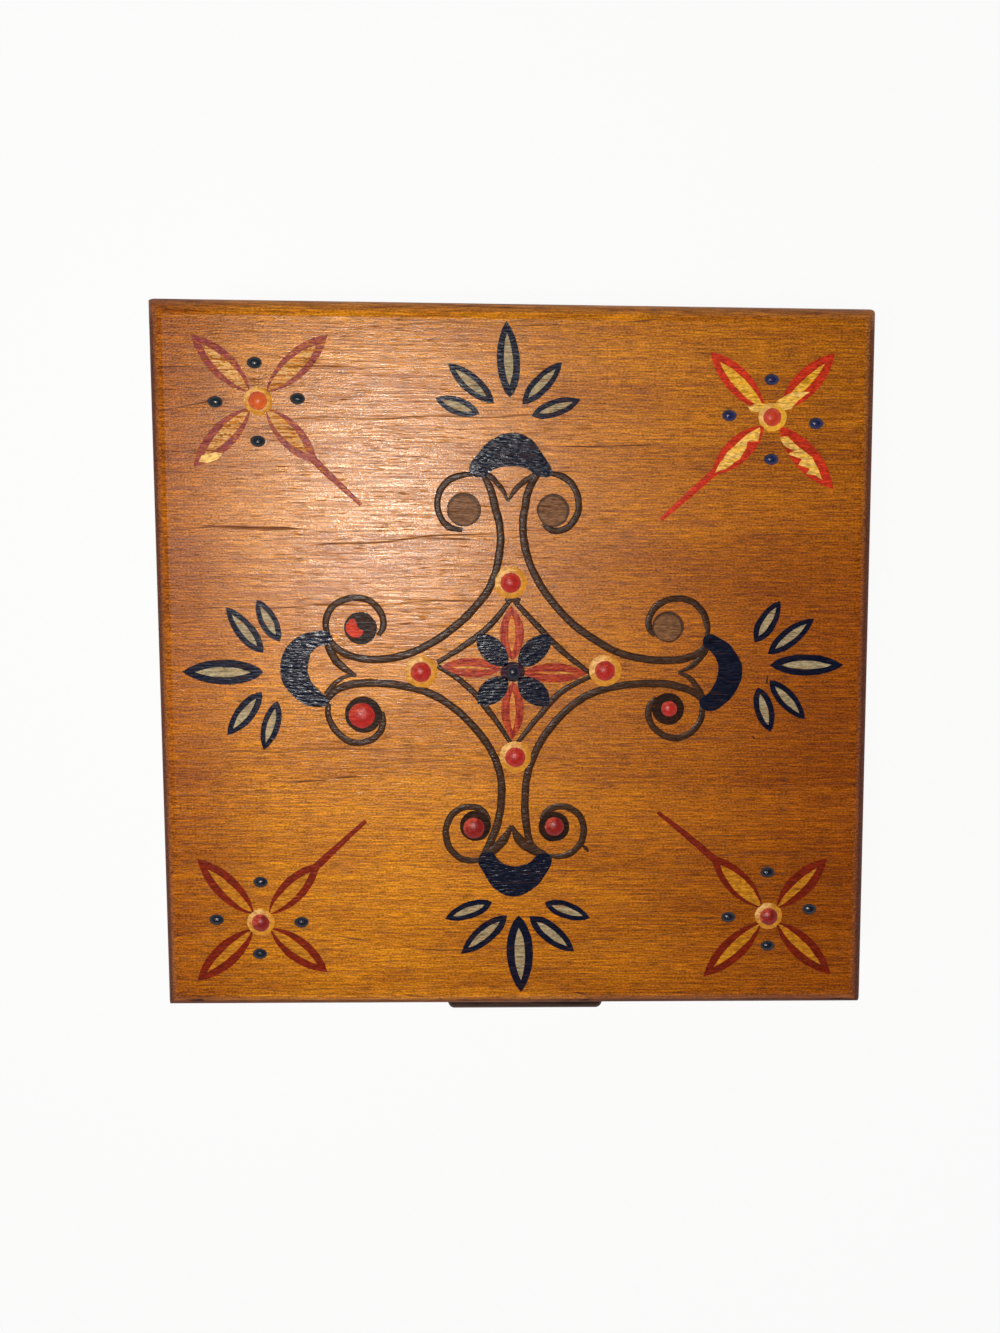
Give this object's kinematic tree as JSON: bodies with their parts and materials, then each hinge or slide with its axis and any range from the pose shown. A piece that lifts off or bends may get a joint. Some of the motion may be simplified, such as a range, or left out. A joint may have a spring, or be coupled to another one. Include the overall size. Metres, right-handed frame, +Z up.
{
  "type": "trinket box",
  "caption": "Square hinged wooden trinket box with finger-jointed walls, a painted round-edged lid and a thumb tab at the front.",
  "frame": {"origin": "centre of the underside, on the surface that the box stands on", "axes": "+Z up, +X to the right of a person who faces the front, -Y towards that person: the front carries the thumb tab and the hinges are at +Y"},
  "size_m": [0.127, 0.129, 0.0574],
  "materials": {
    "honey_wood": "honey-stained hardwood under satin varnish",
    "dark_wood": "dark-stained hardwood, satin",
    "plywood": "bare thin plywood",
    "brass": "aged satin brass",
    "steel_wire": "plain steel wire",
    "red_felt": "wine-red pressed felt",
    "navy_paint": "brushed enamel paint, satin",
    "umber_paint": "thin brushed paint, satin",
    "red_paint": "enamel paint, glossy where thick",
    "yellow_paint": "enamel paint, glossy where thick",
    "grey_paint": "thin grey-green paint, satin"
  },
  "bodies": {
    "box": {"front_wall": "honey_wood", "back_wall": "honey_wood", "left_wall": "honey_wood", "right_wall": "honey_wood", "bottom_panel": "plywood", "bottom_brads": "steel_wire", "floor_felt": "red_felt", "left_hinge_box_leaf": "brass", "left_hinge_pin": "brass", "left_hinge_box_screws": "brass", "right_hinge_box_leaf": "brass", "right_hinge_pin": "brass", "right_hinge_box_screws": "brass"},
    "lid": {"lid_panel": "honey_wood", "thumb_tab": "dark_wood", "yellow_discs": "yellow_paint", "red_drops": "red_paint", "navy_drops": "navy_paint", "left_hinge_lid_leaf": "brass", "left_hinge_lid_screws": "brass", "right_hinge_lid_leaf": "brass", "right_hinge_lid_screws": "brass"}
  },
  "joints": [
    {"name": "lid_hinge", "type": "hinge", "parent": "box", "child": "lid", "pos_m": [0, 0.0611, 0.047], "axis": [-1, 0, 0], "range_deg": [0, 100]}
  ]
}
